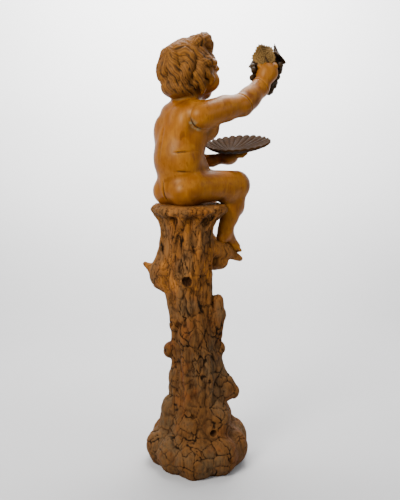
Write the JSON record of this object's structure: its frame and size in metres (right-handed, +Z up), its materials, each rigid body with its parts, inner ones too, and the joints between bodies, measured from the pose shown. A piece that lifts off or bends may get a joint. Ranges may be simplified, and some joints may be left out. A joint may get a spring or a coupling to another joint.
{
  "type": "cupid statue on tree trunk pedestal",
  "caption": "Carved wooden cupid seated on a tall tree trunk pedestal, holding up a bunch of grapes in one hand and a scalloped shell dish in the other",
  "frame": {"origin": "middle of the pedestal's flat underside", "axes": "+Z up; the cupid faces -Y; its right arm is on the -X side"},
  "size_m": [0.347, 0.4754, 1.3874],
  "materials": {
    "bark_wood": "orange-brown carved bark with dark cracks, dry wax, grey dust in the hollows",
    "figure_wood": "honey-brown waxed wood, softly glossy, darker in the creases and the hair",
    "arm_wood": "honey-brown waxed wood with a pale filled glue line at the shoulder and a mended crack at the wrist",
    "dish_wood": "mid to dark brown waxed wood, darker underneath",
    "grape_wood": "dark green-black stained wood, olive-brown on the leaf over the fist"
  },
  "bodies": {
    "root": {"trunk_pedestal": "bark_wood", "cupid": "figure_wood", "right_arm": "arm_wood", "shell_dish": "dish_wood", "grape_bunch": "grape_wood"}
  },
  "joints": []
}
